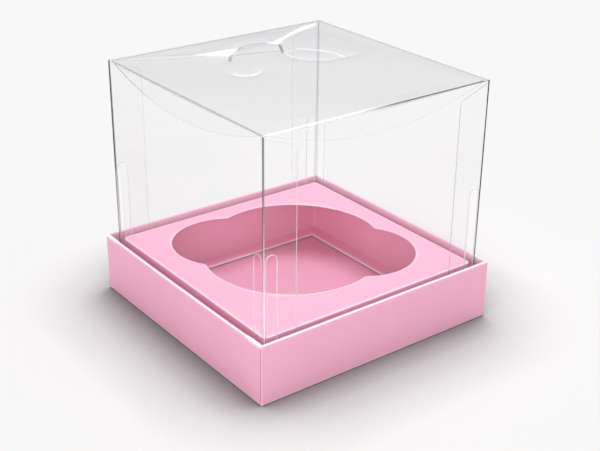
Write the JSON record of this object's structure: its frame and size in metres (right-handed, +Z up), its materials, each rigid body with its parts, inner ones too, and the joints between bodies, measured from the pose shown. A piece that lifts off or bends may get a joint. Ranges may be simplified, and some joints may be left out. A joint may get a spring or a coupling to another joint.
{
  "type": "cupcake box",
  "caption": "Square cupcake box: a folded card tray, a card insert with a lobed hole, and a clear folded box with a hinged tuck-in lid.",
  "frame": {"origin": "centre of the tray's underside, on the surface it stands on", "axes": "+Z up; the lid's fold runs along +Y at the +X wall, and the lid's front tuck flap is at the -X wall"},
  "size_m": [0.17, 0.17, 0.153],
  "materials": {
    "pink_card": "smooth uncoated pink card",
    "clear_film": "clear gloss film"
  },
  "bodies": {
    "box": {"tray": "pink_card", "insert": "pink_card", "clear_box": "clear_film"},
    "lid": {"clear_lid": "clear_film"}
  },
  "joints": [
    {"name": "lid_hinge", "type": "hinge", "parent": "box", "child": "lid", "pos_m": [0.0793, 0, 0.15255], "axis": [0, 1, 0], "range_deg": [0, 110]}
  ]
}
